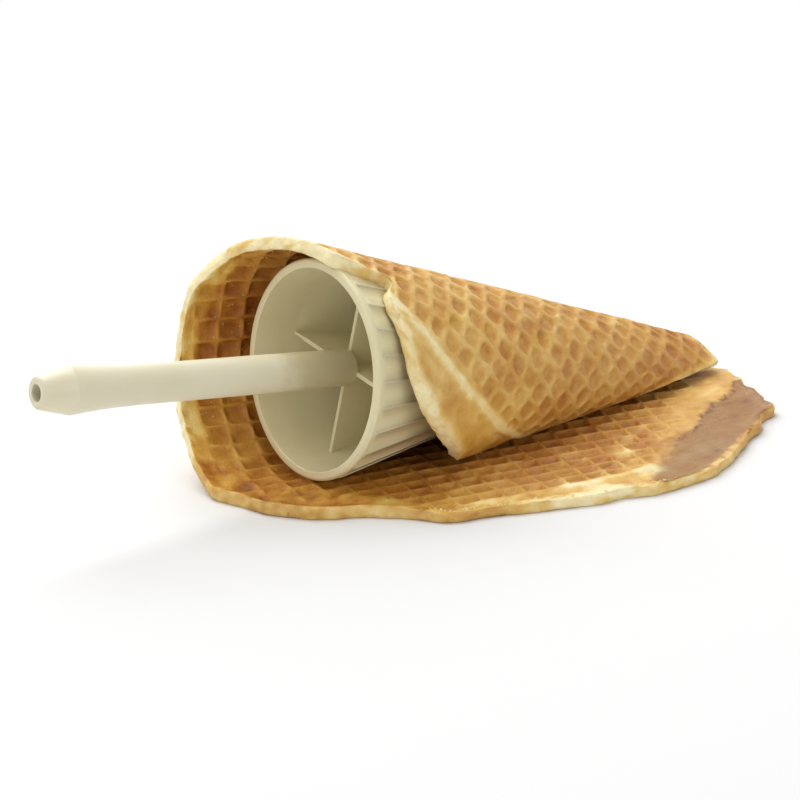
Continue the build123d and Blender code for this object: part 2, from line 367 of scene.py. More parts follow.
form_flutes = flute_group()
print("group", form_flutes.name, "with", len(form_flutes.nodes), "nodes")

# %% [markdown]
# ## Two creams
# The cone gets the skin and the flutes. The handle is a paler moulding, and its root inside
# the mouth is painted duller and browner: a painted shadow, where the cone's rim shades the tube.
# Where a finish changes along a piece, a coordinate and a little noise make the mask for it.

# %% Plastic materials
CREAM = srgb(222, 212, 172)
CREAM_DEEP = srgb(213, 201, 155)
# painted highlight: each crest is mixed towards this paler cream, as if light lay along the ridge
CREST_HIGHLIGHT_CREAM = srgb(238, 232, 206)
CREST_HIGHLIGHT_SHARE = 0.7
FLUTE_DEPTH = 1.7 * MM
FORM_GLOSS = 0.36
HANDLE_CREAM = srgb(221, 214, 186)
HANDLE_DEEP = srgb(214, 205, 172)
HANDLE_GLOSS = 0.30
# painted shadow: the handle's root inside the mouth is mixed towards this duller colour where the cone's rim
# shades it
ROOT_SHADOW_COLOUR = srgb(182, 168, 126)
ROOT_SHADOW_FADE = (-14 * MM, -3 * MM)     # along the table, from lit to painted shadow
ROOT_SHADOW_EDGE = 12 * MM                 # how far noise moves the painted shadow's edge
ROOT_SHADOW_SHARE = 0.7
MOULD_STRENGTH = 0.12
MOULD_DEPTH = 0.2 * MM


def add_group(tree, group, vector, values):
    """Places a node group, feeds it a vector and sets its other inputs by name."""
    return add_node(tree, "ShaderNodeGroup", {"Vector": vector, **values}, node_tree=group)


def new_material(name):
    """A material, its tree, its shader and the object coordinates."""
    material = bpy.data.materials.new(name)
    material.use_nodes = True
    tree = material.node_tree
    place = tree.nodes.new("ShaderNodeTexCoord").outputs["Object"]
    return material, tree, tree.nodes["Principled BSDF"], place


def moulded_plastic(name, plain, deep, gloss):
    """Material with the moulded skin, its parts that the callers go on with, and its colour."""
    material, tree, shader, place = new_material(name)
    skin = add_group(tree, moulded_skin, place, {"Plain Colour": plain, "Deep Colour": deep, "Gloss": gloss})
    relief = {"Strength": MOULD_STRENGTH, "Distance": MOULD_DEPTH, "Height": skin.outputs["Height"]}
    bump = add_node(tree, "ShaderNodeBump", relief)
    link(tree, skin.outputs["Roughness"], shader.inputs["Roughness"])
    link(tree, bump.outputs["Normal"], shader.inputs["Normal"])
    shader.inputs["Specular IOR Level"].default_value = 0.45
    return material, tree, shader, place, bump, skin.outputs["Colour"]


def form_plastic():
    material, tree, shader, place, bump, colour = moulded_plastic(
        "cream form plastic", CREAM, CREAM_DEEP, FORM_GLOSS
    )
    waves = add_group(tree, form_flutes, place, {})
    hollow = add_node(tree, "ShaderNodeBump", {"Distance": FLUTE_DEPTH, "Height": waves.outputs["Height"]})
    link(tree, hollow.outputs["Normal"], bump.inputs["Normal"])
    # painted highlight along each crest
    crest_highlight = add_math(tree, "MULTIPLY", waves.outputs["Crest"], CREST_HIGHLIGHT_SHARE)
    link(tree, add_mix(tree, crest_highlight, colour, CREST_HIGHLIGHT_CREAM), shader.inputs["Base Color"])
    return material


def handle_plastic():
    material, tree, shader, place, bump, colour = moulded_plastic(
        "cream handle plastic", HANDLE_CREAM, HANDLE_DEEP, HANDLE_GLOSS
    )
    # painted shadow of the cone's rim on the handle's root, with a noisy edge
    along = add_node(tree, "ShaderNodeSeparateXYZ", {0: place}).outputs["X"]
    shadow_wobble = add_math(tree, "SUBTRACT", add_noise(tree, place, 160.0, 3.0), 0.5)
    reach = add_math(tree, "ADD", along, add_math(tree, "MULTIPLY", shadow_wobble, ROOT_SHADOW_EDGE))
    share = add_math(tree, "MULTIPLY", add_range(tree, reach, *ROOT_SHADOW_FADE), ROOT_SHADOW_SHARE)
    link(tree, add_mix(tree, share, colour, ROOT_SHADOW_COLOUR), shader.inputs["Base Color"])
    return material


def paint(node, material):
    """Gives a piece of the frame one finish all over."""
    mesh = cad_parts[node].data
    mesh.materials.clear()
    mesh.materials.append(material)
    mesh.polygons.foreach_set("material_index", [0] * len(mesh.polygons))


paint("cone_form", form_plastic())
paint("tube_handle", handle_plastic())
print("painted cone_form and tube_handle")

# %% [markdown]
# ## The wafer's curl
# A wafer is a thin sheet that bends but hardly stretches, so its curled side starts from a
# developable surface: straight lines, called rulings, all run towards one point near the nose
# of the cone. A place on the wafer is then two numbers, the angle of its ruling and its
# distance from that point, and the same two numbers say where it was when the wafer still lay
# flat in the iron. Three shifts then leave that strict rule: the tucked edge lifts onto the
# flat part, the small end bulges to the near side and the flap's corner droops. The functions
# below turn the numbers into a place in the room for whole arrays at once, which is why they
# use numpy and not one vertex after another.

# %% Curl of the wafer
WAFER_T = 3.2               # thickness, mm
RULING_X = 168.0            # the point that the rulings run towards lies this far along +X
LAYER_GAP = 0.25            # the tucked edge lies this far above the flat part
ROLL_START = 1.0            # ruling where the wafer leaves the table, degrees
ROLL_END = 83.0             # last ruling, under the cone
TURN_STEP = 0.25
TURN_RAMPS = ((1.0, 3.5, 5.0), (27.5, 8.5, -1.08), (57.5, 9.5, 2.5))
LIFT_START = 52.5
LIFT_SPAN = 25.0
SMALL_END = 28.5            # distance where the small end of the roll begins
TIP_T = 1.7                 # the small end is thinner from the top of the roll on
THIN_START = 40.0
THIN_SPAN = 20.0
TUCK_START = 62.0
TUCK_SPAN = 10.0
TUCK_TIP = 64.0
SPREAD_START = 40.0
SPREAD_SPAN = 37.0
TIP_SHIFT = np.array((0, -13.0, 0.8))
SPREAD_FULL = 26.0
SPREAD_FADE = 110.0
CORNER_ANGLE = 71.0
CORNER_SPAN = 9.0
CORNER_DROOP = np.array((0, -2.4, -0.2))


def smooth(value):
    """0 below 0, 1 above 1, and an even S between them."""
    value = np.clip(value, 0, 1)
    return value * value * (3 - 2 * value)


def turn_rate(angle):
    return sum(change * smooth((angle - start) / span) for start, span, change in TURN_RAMPS)


def turn_rulings():
    """Direction of the ruling at each step, while the sheet turns about the ruling itself."""
    start = math.radians(ROLL_START)
    ruling = Vector((-math.cos(start), math.sin(start), 0))
    normal = Vector((0, 0, 1))
    rulings = [ruling.copy()]
    landed = False
    for number in range(round((ROLL_END - ROLL_START) / TURN_STEP)):
        angle = ROLL_START + (number + 0.5) * TURN_STEP
        rate = 0.0 if landed else float(turn_rate(angle))
        amount = math.radians(-TURN_STEP * math.hypot(1, rate))
        turn = Matrix.Rotation(amount, 3, (ruling * rate + normal).normalized())
        ruling = turn @ ruling
        normal = turn @ normal
        if angle > LIFT_START and ruling.cross(normal).z >= 0 and not landed:
            landed = True
            ruling = Vector((ruling.x, ruling.y, 0)).normalized()
            normal = Vector((0, 0, 1))
        rulings.append(ruling.copy())
    return np.array(rulings)


RULINGS = turn_rulings()
RULING_ANGLES = ROLL_START + TURN_STEP * np.arange(len(RULINGS))
print(len(RULINGS), "rulings from", RULING_ANGLES[0], "to", RULING_ANGLES[-1], "degrees")

# %% Edge of the wafer
# ruling angle in degrees, distance in mm; set from the flat shape of a hand-poured wafer
ROLL_EDGE = np.array((
    (1, 194), (4, 196), (10, 194.5), (18, 193), (26, 192), (32, 187), (38, 181),
    (42, 178), (43.5, 178), (45, 169), (46.5, 164.5), (48.5, 166), (50.5, 168),
    (57, 166), (61, 160), (66, 149), (69, 142), (71.5, 137), (74, 122), (77, 105),
    (80, 88), (83, 71.5),
))
FLAT_EDGE = np.array((
    (-2, 192), (-4, 190), (-6, 187), (-8, 182), (-10, 176.5), (-12.5, 172.5),
    (-16.5, 170), (-18, 167), (-20.5, 159), (-24, 152), (-27, 145.5), (-29, 142.5),
    (-31, 137), (-34.5, 133), (-38.5, 122), (-41, 116), (-42.7, 104), (-45, 89),
    (-47, 82.5), (-49.5, 69), (-51.3, 62.7),
))
TORN_EDGE = np.array(((-50, 57.5), (-47, 49), (-45.5, 42.5), (-39.5, 34.6), (-32, 29)))


def tip_distance(angle):
    """Where the small end begins on a ruling; the tucked edge is cut back."""
    return SMALL_END + (TUCK_TIP - SMALL_END) * smooth((angle - TUCK_START) / TUCK_SPAN)


def to_flat(distance, angle):
    """Place in the flat wafer, mm: along the cone, and across towards the curled side."""
    turn = np.radians(angle)
    return np.stack([RULING_X - distance * np.cos(turn), distance * np.sin(turn)], -1)


def from_flat(flat):
    """Distance and ruling angle of a place in the flat wafer."""
    reach = RULING_X - flat[..., 0]
    return np.hypot(reach, flat[..., 1]), np.degrees(np.arctan2(flat[..., 1], reach))


def whole_outline():
    """Corners of the flat wafer's outline, counter-clockwise from above."""
    back = np.arange(ROLL_END, ROLL_START, -3.0)
    small_end = np.stack([back, tip_distance(back)], -1)
    level_end = np.array([(angle, SMALL_END) for angle in range(-2, -31, -4)])
    loop = np.concatenate([ROLL_EDGE, small_end, level_end, TORN_EDGE[::-1], FLAT_EDGE[::-1]])
    return to_flat(loop[:, 1], loop[:, 0])[::-1]


outline = whole_outline()
print("outline spans", np.ptp(outline, axis=0).round(1), "mm in the flat")

# %% Place in the room
def ruling_at(angle):
    turn = np.radians(angle)
    level = np.stack([-np.cos(turn), np.sin(turn), 0 * turn], -1)
    curled = np.stack([np.interp(angle, RULING_ANGLES, RULINGS[:, axis]) for axis in range(3)], -1)
    curled /= np.linalg.norm(curled, axis=-1, keepdims=True)
    return np.where((angle < ROLL_START)[..., None], level, curled)


def along_ruling(distance, angle):
    """0 at the small end of a ruling and 1 at the wafer's edge."""
    edge = np.interp(angle, ROLL_EDGE[:, 0], ROLL_EDGE[:, 1])
    tip = tip_distance(angle)
    return np.clip((distance - tip) / (edge - tip), 0, 1)


def outer_face(distance, angle):
    """Place on the outer face of the wafer, mm."""
    lift = smooth((angle - LIFT_START) / LIFT_SPAN)
    spread = smooth((angle - SPREAD_START) / SPREAD_SPAN) * (1 - (distance - SPREAD_FULL) / SPREAD_FADE)
    droop = smooth(1 - abs(angle - CORNER_ANGLE) / CORNER_SPAN) * along_ruling(distance, angle)
    place = np.array((RULING_X, 0, 0)) + ruling_at(angle) * distance[..., None]
    place[..., 2] += (WAFER_T + LAYER_GAP) * lift
    return place + TIP_SHIFT * spread[..., None] + CORNER_DROOP * droop[..., None]


def inward_normal(distance, angle):
    """Unit normal that points from the outer face to the inner one."""
    across = outer_face(distance, angle + 0.5) - outer_face(distance, angle - 0.5)
    along = outer_face(distance + 0.5, angle) - outer_face(distance - 0.5, angle)
    normal = np.cross(across, along)
    return normal / np.linalg.norm(normal, axis=-1, keepdims=True)


def thickness(distance, angle):
    tip = WAFER_T + (TIP_T - WAFER_T) * smooth((angle - THIN_START) / THIN_SPAN)
    return tip + (WAFER_T - tip) * along_ruling(distance, angle)


def room_place(flat, depth_share):
    """Place in the room and inward normal; depth share 0 is the outer face, 1 the inner one."""
    distance, angle = from_flat(flat)
    normal = inward_normal(distance, angle)
    depth = depth_share * thickness(distance, angle)
    return outer_face(distance, angle) + normal * depth[..., None], normal


top_of_roll = outer_face(np.array([178.0]), np.array([30.0]))[0]
print("a place on the mouth edge:", top_of_roll.round(1))

# %% [markdown]
# ## An edge that was poured, not cut
# Batter runs out between the plates and sets in lobes, so the edge is never a clean curve.
# The outline gets a soft rounding first. Then a smooth random wave is taken off it, stronger
# on the overbaked right side, where bits have broken away. The random numbers come from a
# seeded generator, so that each run gives the same wafer.

# %% Smooth random waves
def wave_along(length, spacing, seed):
    """Smooth random values from -1 to 1 along a closed line, at even stations."""
    stations = int(length / spacing)
    values = np.random.default_rng(seed).uniform(-1, 1, stations)
    place = np.linspace(0, stations, len(outline_ring), endpoint=False)
    low = place.astype(int)
    share = smooth(place - low)
    return values[low % stations] * (1 - share) + values[(low + 1) % stations] * share


def cloud(flat, size, seed):
    """Smooth random values from 0 to 1 over the flat wafer, with lumps of about that size, mm."""
    grid = np.random.default_rng(seed).random((64, 64))
    place = flat / size + 17.0
    low = np.floor(place).astype(int)
    share = smooth(place - low)
    col, row = low[..., 0] % 64, low[..., 1] % 64
    next_col, next_row = (col + 1) % 64, (row + 1) % 64
    near = grid[row, col] * (1 - share[..., 0]) + grid[row, next_col] * share[..., 0]
    far = grid[next_row, col] * (1 - share[..., 0]) + grid[next_row, next_col] * share[..., 0]
    return near * (1 - share[..., 1]) + far * share[..., 1]


EDGE_STEP = 0.65            # mm between points of the edge
EDGE_SOFTEN = 0.8           # mm, rounding of the outline's corners


def even_ring(corners, step):
    """Points at even distances along a closed line."""
    closed = np.concatenate([corners, corners[:1]])
    lengths = np.concatenate([[0], np.cumsum(np.linalg.norm(np.diff(closed, axis=0), axis=1))])
    count = int(lengths[-1] / step)
    stations = np.linspace(0, lengths[-1], count, endpoint=False)
    return np.stack([np.interp(stations, lengths, closed[:, axis]) for axis in range(2)], -1)


def soften_ring(ring, width):
    """Rounds a ring's corners with a bell-shaped average."""
    reach = int(4 * width / EDGE_STEP)
    steps = np.arange(-reach, reach + 1)
    weights = np.exp(-0.5 * (steps * EDGE_STEP / width) ** 2)
    weights /= weights.sum()
    return sum(weight * np.roll(ring, step, axis=0) for weight, step in zip(weights, steps))


def outward_of(ring):
    """Unit directions that point out of a counter-clockwise ring."""
    along = np.roll(ring, -1, axis=0) - np.roll(ring, 1, axis=0)
    along /= np.linalg.norm(along, axis=1, keepdims=True)
    return np.stack([along[:, 1], -along[:, 0]], -1)


outline_ring = soften_ring(even_ring(outline, EDGE_STEP), EDGE_SOFTEN)
ring_length = EDGE_STEP * len(outline_ring)
print(len(outline_ring), "points round", round(ring_length), "mm of edge")

# %% Ragged outline
LOBE_SIZE = 9.0             # mm along the edge
LOBE_DEPTH = 0.9
CRUMB_SIZE = 2.4
CRUMB_DEPTH = 0.35
SWELL = 0.45                # mm, how far the lobes stand outside the plain outline
RAGGED_SIDE = np.array((131.0, -38.0))      # middle of the overbaked side, in the flat wafer
RAGGED_REACH = 26.0
RAGGED_DEPTH = 2.2
# u, v, size and cut in mm: the notch where the roll folds over, the lobe beside it, the corner
# where the overbaked side meets the torn edge, and the corner of the flap
EDGE_MARKS = ((54.4, 119.7, 1.8, 3.0), (58.0, 129.0, 3.0, -1.2),
              (127.0, -50.0, 3.6, -1.6), (122.0, 131.5, 4.5, -1.8))


def spot(flat, u, v, size):
    """A round soft spot, 1 in its middle."""
    return np.exp(-0.5 * ((flat[:, 0] - u) ** 2 + (flat[:, 1] - v) ** 2) / size**2)


def ragged_outline():
    """The outline with lobes and broken crumbs taken off it."""
    lobes = 0.5 - 0.5 * wave_along(ring_length, LOBE_SIZE, seed=4)
    crumbs = 0.5 - 0.5 * wave_along(ring_length, CRUMB_SIZE, seed=5)
    broken = 0.5 - 0.5 * wave_along(ring_length, CRUMB_SIZE * 1.6, seed=6)
    far = np.linalg.norm(outline_ring - RAGGED_SIDE, axis=1)
    ragged = smooth(1.4 - far / RAGGED_REACH)
    cut = LOBE_DEPTH * lobes + CRUMB_DEPTH * crumbs + RAGGED_DEPTH * broken * ragged - SWELL
    for u, v, size, amount in EDGE_MARKS:
        cut += amount * spot(outline_ring, u, v, size)
    cut = np.maximum(cut, -1.8)
    return outline_ring - outward_of(outline_ring) * cut[:, None]


edge_ring = soften_ring(ragged_outline(), 0.5)
edge_outward = outward_of(soften_ring(edge_ring, 2.0))
print("edge ring spans", np.ptp(edge_ring, axis=0).round(1), "mm")

# %% [markdown]
# ## The plates' patterns
# The lower plate leaves square cells between thin ridges on the inner face, and the upper
# plate leaves round pits in a soft net on the outer face. The soft sheet was pulled about
# while it was rolled, so neither pattern is a perfect grid: a cell's place in the flat wafer
# is a gentle curve in its column and row. Mesh points are laid out by the same rule, with
# several rows close together where a ridge begins, so that crisp ridges need few triangles.

# %% Cell places
INNER_START = (8.6, -23.4)          # mm, centre of column 0, row 0
INNER_COLUMN = (6.44, -1.82)        # mm from one column to the next
INNER_ROW = (-1.45, -5.99)
INNER_BEND = ((-0.029, -0.049, 0.032), (-0.024, 0.004, 0.0265))


def inner_cells(column, row):
    """Place in the flat wafer of a cell of the inner face."""
    place = []
    for axis in range(2):
        column_bend, both_bend, row_bend = INNER_BEND[axis]
        straight = INNER_START[axis] + INNER_COLUMN[axis] * column + INNER_ROW[axis] * row
        bent = column_bend * column**2 + both_bend * column * row + row_bend * row**2
        place.append(straight + bent)
    return np.stack(place, -1)


OUTER_START = (107.6, 78.3)         # mm, centre of a pit in the middle of the near side
OUTER_COLUMN = (5.7, -0.21)
OUTER_ROW = (-1.16, -8.4)
OUTER_BEND = ((-0.042, -0.071, 0.266), (-0.003, 0.225, -0.388))
BEND_REACH = (9.0, 6.0)             # the bend levels off this many columns and rows away
CLOSER_FROM = 0.3                   # row from which the rows lie closer, towards the back
CLOSER_BY = 3.4                     # mm


def outer_cells(column, row):
    """Place in the flat wafer of a pit of the outer face."""
    column_near = BEND_REACH[0] * np.tanh(column / BEND_REACH[0])
    row_near = BEND_REACH[1] * np.tanh(row / BEND_REACH[1])
    closer = CLOSER_BY * (np.hypot(np.maximum(row - CLOSER_FROM, 0), 1) - 1)
    place = []
    for axis in range(2):
        column_bend, both_bend, row_bend = OUTER_BEND[axis]
        straight = OUTER_START[axis] + OUTER_COLUMN[axis] * column + OUTER_ROW[axis] * row
        straight = straight - OUTER_ROW[axis] / math.hypot(*OUTER_ROW) * closer
        bent = column_bend * column_near**2 + both_bend * column_near * row_near
        place.append(straight + bent + row_bend * row_near**2)
    return np.stack(place, -1)


print("inner pitch", INNER_COLUMN, INNER_ROW, "outer pitch", OUTER_COLUMN, OUTER_ROW)

# %% Points of one face
EDGE_ROUND = 0.8            # mm, how far the rounded edge reaches over each face
CELL_GAP = 0.45             # mm kept free between the cells' points and the rounded edge
INNER_STEPS = (-0.45, -0.38, -0.15, 0.15, 0.38, 0.45, 0.5)
OUTER_STEPS = (-0.43, -0.36, -0.22, 0.0, 0.22, 0.36, 0.43, 0.5)


def inside(points, ring):
    """Which points lie inside a closed ring, by counting how often a level line crosses it."""
    found = np.zeros(len(points), bool)
    for (start_u, start_v), (end_u, end_v) in zip(ring, np.roll(ring, -1, axis=0)):
        if start_v == end_v:
            continue
        crosses = (start_v > points[:, 1]) != (end_v > points[:, 1])
        reach = start_u + (end_u - start_u) * (points[:, 1] - start_v) / (end_v - start_v)
        found ^= crosses & (points[:, 0] < reach)
    return found


def ring_distance(points, ring):
    """Distance from each point to the nearest point of a ring, mm."""
    nearest = np.full(len(points), np.inf)
    for station in ring:
        nearest = np.minimum(nearest, np.linalg.norm(points - station, axis=1))
    return nearest


def face_points(cells, steps, columns, rows, ring):
    """Flat places of a face's points and their column and row, ring first."""
    column = (np.arange(*columns)[:, None] + np.array(steps)).ravel()
    row = (np.arange(*rows)[:, None] + np.array(steps)).ravel()
    column, row = (grid.ravel() for grid in np.meshgrid(column, row))
    places = cells(column, row)
    keep = inside(places, ring)
    places, column, row = places[keep], column[keep], row[keep]
    keep = ring_distance(places, ring) > CELL_GAP
    lattice = np.stack([column[keep], row[keep]], -1)
    flat = np.concatenate([ring, places[keep]])
    return flat, np.concatenate([np.zeros((len(ring), 2)), lattice])


def face_triangles(flat, ring_size):
    corners = [Vector(place) for place in flat]
    result = delaunay_2d_cdt(corners, [], [list(range(ring_size))], 1, 1e-6)
    assert len(result[0]) == len(flat), "the edge ring crosses itself"
    return np.array(result[2])


inset_ring = soften_ring(edge_ring - edge_outward * EDGE_ROUND, 0.6)
ring_size = len(edge_ring)
inner_flat, inner_lattice = face_points(inner_cells, INNER_STEPS, (-14, 34), (-34, 14), inset_ring)
outer_flat, outer_lattice = face_points(outer_cells, OUTER_STEPS, (-34, 22), (-14, 32), inset_ring)
inner_triangles = face_triangles(inner_flat, ring_size)
outer_triangles = face_triangles(outer_flat, ring_size)
print(len(inner_flat), "inner points,", len(outer_flat), "outer points")

# %% Rounded edge between both faces
# share of the thickness, and how far that ring stays behind the outline, mm
EDGE_RINGS = ((0.08, 0.30), (0.26, 0.05), (0.50, 0.0), (0.74, 0.05), (0.92, 0.30))
EDGE_LUMPS = 0.8
FLAP_SLANT = 2.0            # mm, how far the flap's edge runs out towards its inner face
EDGE_BEAD = 0.32            # share of the thickness that the mouth's edge swells inwards
BEAD_REACH = 2.6            # mm
# u, v in the flat wafer, share of the thickness, size and depth in mm: holes left by steam
BUBBLES = (
    (90.4, 139.9, 0.50, 1.1, 1.2), (104.2, 136.9, 0.40, 1.2, 1.3), (76.0, 138.0, 0.65, 0.8, 0.9),
    (112.0, 133.0, 0.60, 0.8, 0.8), (96.0, 139.0, 0.30, 0.7, 0.7), (30.0, -66.0, 0.5, 1.0, 0.9),
    (52.0, -75.0, 0.6, 1.1, 1.0), (38.0, -71.0, 0.4, 0.8, 0.9), (60.0, -77.0, 0.5, 0.9, 0.9),
)


def edge_rings():
    """Flat places and thickness shares of the rings round the edge, with small lumps."""
    flats, shares = [], []
    distance, angle = from_flat(edge_ring)
    slanted = smooth((angle - 50) / 12) * smooth((73 - angle) / 5) * (distance > 125)
    for number, (share, behind) in enumerate(EDGE_RINGS):
        lumps = 0.5 - 0.5 * wave_along(ring_length, CRUMB_SIZE * 0.8, seed=20 + number)
        swells = 0.5 - 0.5 * wave_along(ring_length, CRUMB_SIZE * 2.2, seed=40 + number)
        cut = behind + EDGE_LUMPS * (0.55 * lumps + 0.45 * swells)
        cut -= FLAP_SLANT * slanted * smooth(1.5 * share)
        for u, v, level, size, hole in BUBBLES:
            cut += hole * spot(edge_ring, u, v, size) * smooth(1.3 - abs(share - level) / 0.2)
        flats.append(edge_ring - edge_outward * cut[:, None])
        shares.append(np.full(ring_size, share))
    return np.concatenate(flats), np.concatenate(shares)


rim_flat, rim_share = edge_rings()
all_flat = np.concatenate([outer_flat, inner_flat, rim_flat])
all_share = np.concatenate([np.zeros(len(outer_flat)), np.ones(len(inner_flat)), rim_share])
all_lattice = np.concatenate([outer_lattice, inner_lattice, np.zeros((len(rim_flat), 2))])
edge_gap = ring_distance(all_flat, edge_ring)


def beaded_share():
    """Thickness shares with the batter's bead along the mouth's edge."""
    distance, angle = from_flat(all_flat)
    mouth = smooth((angle + 22) / 20) * smooth((52 - angle) / 8) * (distance > 150)
    bead = smooth(1.3 - edge_gap / BEAD_REACH) * mouth
    return all_share * (1 + EDGE_BEAD * bead)


all_places, all_normals = room_place(all_flat, beaded_share())
on_outer = np.arange(len(all_flat)) < len(outer_flat)
on_rim = np.arange(len(all_flat)) >= len(outer_flat) + len(inner_flat)
on_inner = ~on_outer & ~on_rim
print(len(all_flat), "points in all")

# %% Triangles of the closed sheet
def strip_faces():
    """Quads between neighbouring rings, from the outer face round the edge to the inner face."""
    first_rim = len(outer_flat) + len(inner_flat)
    starts = [0] + [first_rim + number * ring_size for number in range(len(EDGE_RINGS))] + [len(outer_flat)]
    station = np.arange(ring_size)
    following = (station + 1) % ring_size
    faces = []
    for low, high in zip(starts, starts[1:]):
        faces.append(np.stack([low + station, low + following, high + following, high + station], -1))
    return np.concatenate(faces)


def make_sheet():
    faces = outer_triangles[:, ::-1].tolist()
    faces += (inner_triangles + len(outer_flat)).tolist()
    faces += strip_faces().tolist()
    mesh = bpy.data.meshes.new("wafer sheet")
    mesh.from_pydata((all_places * MM).tolist(), [], faces)
    mesh.update()
    mesh.polygons.foreach_set("use_smooth", [True] * len(mesh.polygons))
    return mesh


sheet = make_sheet()
print("sheet:", len(sheet.vertices), "points,", len(sheet.polygons), "faces")

# %% [markdown]
# ## Zones of the plates and of the bake
# Both plates end in a round border groove, which leaves a raised border on the wafer with a
# smooth band outside it. Where the batter didn't reach the plate, the pattern fades away, and
# one side of this wafer ran thin and overbaked. Each zone is a soft mask in the flat wafer:
# a distance from a circle, a line or a polygon, blurred over a few millimetres. The masks
# steer both the relief and the colour, so a pale place is also a smooth one.

# %% Borders of the plates
PLATE_CENTRE = np.array((73.0, 32.0))
OUTER_BORDER = 94.6
# direction from the centre in degrees, radius of the border; the sheet stretched at the near left
INNER_BORDER = np.array((
    (0, 94), (90, 89), (138, 86.8), (157, 87), (176, 89.5), (189, 91), (205, 90), (218, 92),
    (228, 97.5), (236, 97.5), (252, 93.5), (270, 94), (360, 94),
))
BORDER_HALF = 1.25          # mm
PATTERN_FADE = 1.6


def border_gap(flat, inner):
    """Signed distance outwards from the border's middle line, mm."""
    away = flat - PLATE_CENTRE
    direction = np.degrees(np.arctan2(away[:, 1], away[:, 0])) % 360
    radius = np.where(inner, np.interp(direction, INNER_BORDER[:, 0], INNER_BORDER[:, 1]), OUTER_BORDER)
    return np.linalg.norm(away, axis=1) - radius


def side_of(flat, start, end):
    """Signed distance to the left of a line from start to end, mm."""
    start, end = np.array(start), np.array(end)
    along = (end - start) / np.linalg.norm(end - start)
    away = flat - start
    return along[0] * away[:, 1] - along[1] * away[:, 0]


def polygon_gap(flat, corners):
    """Signed distance to a polygon's edge, mm; positive inside."""
    ring = even_ring(np.array(corners, float), 1.5)
    return ring_distance(flat, ring) * np.where(inside(flat, ring), 1, -1)


OVERBAKED = (
    (60, -74), (63, -68), (71, -62.5), (80, -56.5), (88, -50.5), (97, -47.5), (103, -44.5), (106, -41),
    (113, -38), (120, -34.5), (129, -31), (136, -24), (140, -30), (136, -42), (124, -51), (115, -56.5),
    (104, -61), (92, -67.5), (80, -73), (68, -76.5),
)
smudge = cloud(all_flat, 5.0, 31) - 0.5
fine_smudge = cloud(all_flat, 2.2, 32) - 0.5
wide_smudge = cloud(all_flat, 14.0, 33) - 0.5
jagged = 0.5 + 1.5 * smooth((edge_gap - 6) / 4)
fading = 1.6 + 6.0 * smooth((104 - all_flat[:, 0]) / 16) * smooth((edge_gap - 6) / 6)
overbaked = smooth(0.5 + (polygon_gap(all_flat, OVERBAKED) + jagged * fine_smudge) / fading) * on_inner
border_out = border_gap(all_flat, on_inner)
border = smooth(1.6 - abs(border_out + 1.2 * smudge) / BORDER_HALF)
grain_line = side_of(all_flat, (60, -74), (140, -28))
print("overbaked points:", int((overbaked > 0.5).sum()), " border points:", int((border > 0.5).sum()))

# %% Where the patterns reach
PALE_FROM = ((66, -62), (97, -36))          # line in the flat wafer; the pattern fades to its right
PALE_FADE = 9.0
GHOST = 0.80                                # how much of the pattern smeared past the border
GHOST_REACH = 20.0                          # mm inside the border, where the smear begins
SMOOTH_CORNER = (-6.0, -12.0)               # smeared place where the wafer starts to rise


def pattern_mask():
    mask = smooth((-border_out - 1.2) / PATTERN_FADE)
    ghost = smooth(0.55 + 2.2 * smudge) * smooth((border_out + GHOST_REACH) / 16) * on_inner
    west = smooth((30 - all_flat[:, 0]) / 20)
    mask = np.maximum(mask, GHOST * ghost * west)
    right = -side_of(all_flat, *PALE_FROM) + 6.0 * smudge
    fade = smooth((right + 4.0) / PALE_FADE) * smooth((all_flat[:, 0] - 60) / 12)
    near = smooth((-4.0 - all_flat[:, 1]) / 10)
    mask = mask * np.where(on_inner, 1 - 0.86 * fade * near, 1)
    smear = spot(all_flat, *SMOOTH_CORNER, 9.0) * smooth(0.7 + 2.4 * smudge)
    mask = mask * np.where(on_inner, 1 - 0.5 * smear, 1)
    mask = mask * smooth((edge_gap - EDGE_ROUND) / 1.5)
    mask[on_rim] = 0
    return mask * (1 - overbaked)


pattern = pattern_mask()
sheet_t = thickness(*from_flat(all_flat))
print("points with pattern:", int((pattern > 0.5).sum()))

# %% Relief that isn't pattern
BAND_DEPTH = 0.55           # mm, the smooth band outside the border lies this much deeper
OVERBAKED_DEPTH = 0.85
UNEVEN = 0.35
LAYER_STEP = ((66.5, -62.0), (57.0, -78.0))     # step where a second pour of batter begins
LAYER_DROP = 0.35


def relief_depth():
    """How deep each point lies below its face, mm, before the pattern is pressed in."""
    band = smooth((border_out - 0.6) / 2.2) * smooth((edge_gap - 2.5) / 4.0)
    depth = BAND_DEPTH * band * (1 - border) * np.where(on_inner, 1, 1.35)
    depth += UNEVEN * np.clip(0.5 + wide_smudge * 0.7 + smudge * 0.6 + fine_smudge * 0.35, 0, 1.2)
    depth = np.where(on_inner, depth * (1 - overbaked), depth)
    rim_roll = smooth((edge_gap - 2.2) / 1.6)
    depth += overbaked * rim_roll * (OVERBAKED_DEPTH + 0.5 * smudge)
    step = smooth(side_of(all_flat, *LAYER_STEP) / 1.2) * smooth((-60 - all_flat[:, 1]) / 3)
    depth += LAYER_DROP * step * on_inner * (1 - overbaked)
    depth *= sheet_t / WAFER_T
    depth[on_rim] = 0
    return depth


depth = relief_depth()
print("relief without pattern reaches", round(float(depth.max()), 2), "mm")
